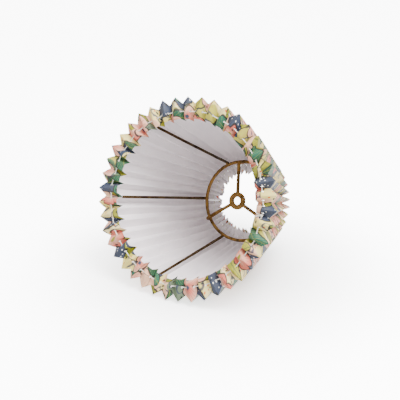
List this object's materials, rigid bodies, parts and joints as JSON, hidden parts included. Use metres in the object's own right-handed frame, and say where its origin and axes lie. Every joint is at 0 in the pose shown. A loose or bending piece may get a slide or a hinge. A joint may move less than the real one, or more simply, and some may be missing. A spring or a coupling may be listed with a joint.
{
  "type": "pleated lampshade",
  "caption": "Accordion-pleated printed-paper lampshade, drawn in at both ends by laced cords, on a round wire fitter with a recessed spider and hub washer.",
  "frame": {"origin": "centre of the mouth, level with the lowest fold tips that the shade stands on", "axes": "+Z along the shade's axis from the mouth to the small end; one spider arm lies at 135 degrees from +X"},
  "size_m": [0.2438, 0.2438, 0.1754],
  "materials": {
    "brass_ring": "antiqued satin",
    "brass_hub": "antiqued satin",
    "dark_brass": "dark antiqued",
    "printed_paper": "matte printed outside, white lining inside",
    "cotton_cord": "matte"
  },
  "bodies": {
    "root": {"top_ring": "brass_ring", "hub_washer": "brass_hub", "spider_arm_1": "brass_ring", "spider_arm_2": "brass_ring", "spider_arm_3": "brass_ring", "rib_1": "dark_brass", "rib_2": "dark_brass", "rib_3": "dark_brass", "rib_4": "dark_brass", "rib_5": "dark_brass", "rib_6": "dark_brass", "pleated_strip_1": "printed_paper", "pleated_strip_2": "printed_paper", "pleated_strip_3": "printed_paper", "mouth_cord": "cotton_cord", "collar_cord": "cotton_cord"}
  },
  "joints": []
}
